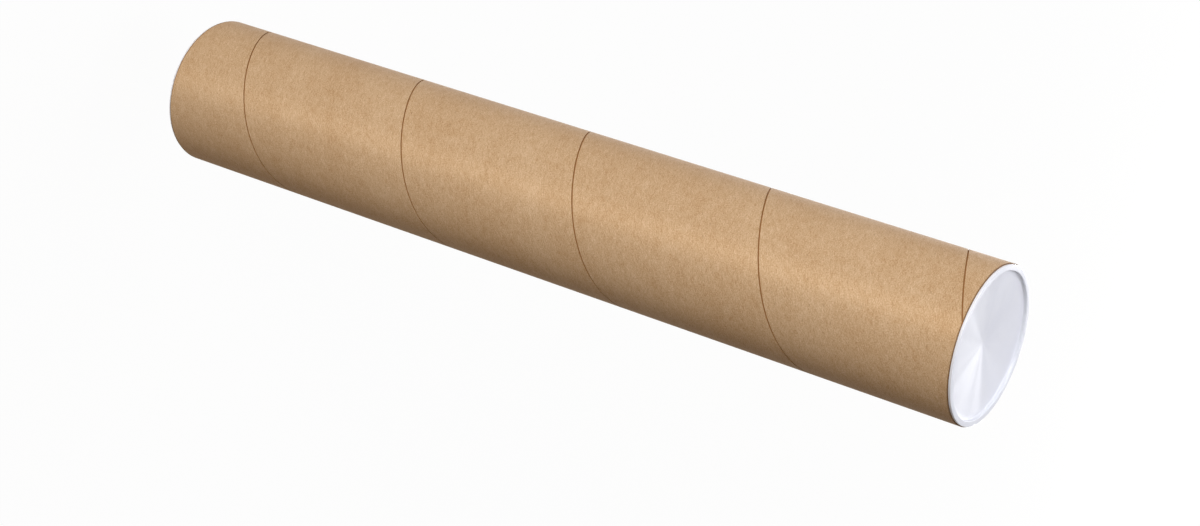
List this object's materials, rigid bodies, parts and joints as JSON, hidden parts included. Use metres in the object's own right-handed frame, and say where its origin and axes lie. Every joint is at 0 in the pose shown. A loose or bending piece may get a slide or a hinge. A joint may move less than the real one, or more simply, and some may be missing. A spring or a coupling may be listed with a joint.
{
  "type": "cardboard mailing tube",
  "caption": "Spiral-wound kraft cardboard mailing tube, closed at each end by a white moulded push-in cap with a dished panel, for posting rolled sheets.",
  "frame": {"origin": "centre of the lower cap's rim face, on the tube's axis, where the standing tube meets the floor", "axes": "+Z along the tube's axis, from the lower cap up to the upper cap; X and Y are across the tube, and the view of the picture is from -Y"},
  "size_m": [0.0762, 0.0762, 0.4596],
  "materials": {
    "kraft_board": "uncoated kraft paper, matt with a slight calendered sheen",
    "white_cap": "injection-moulded low-density polyethylene, smooth and semi-gloss"
  },
  "bodies": {
    "tube_body": {"tube": "kraft_board"},
    "bottom_cap_body": {"bottom_cap": "white_cap"},
    "top_cap_body": {"top_cap": "white_cap"}
  },
  "joints": [
    {"name": "top_cap_pull", "type": "slide", "parent": "tube_body", "child": "top_cap_body", "axis": [0, 0, 1], "range_m": [0, 0.05]},
    {"name": "bottom_cap_pull", "type": "slide", "parent": "tube_body", "child": "bottom_cap_body", "axis": [0, 0, -1], "range_m": [0, 0.05]}
  ]
}
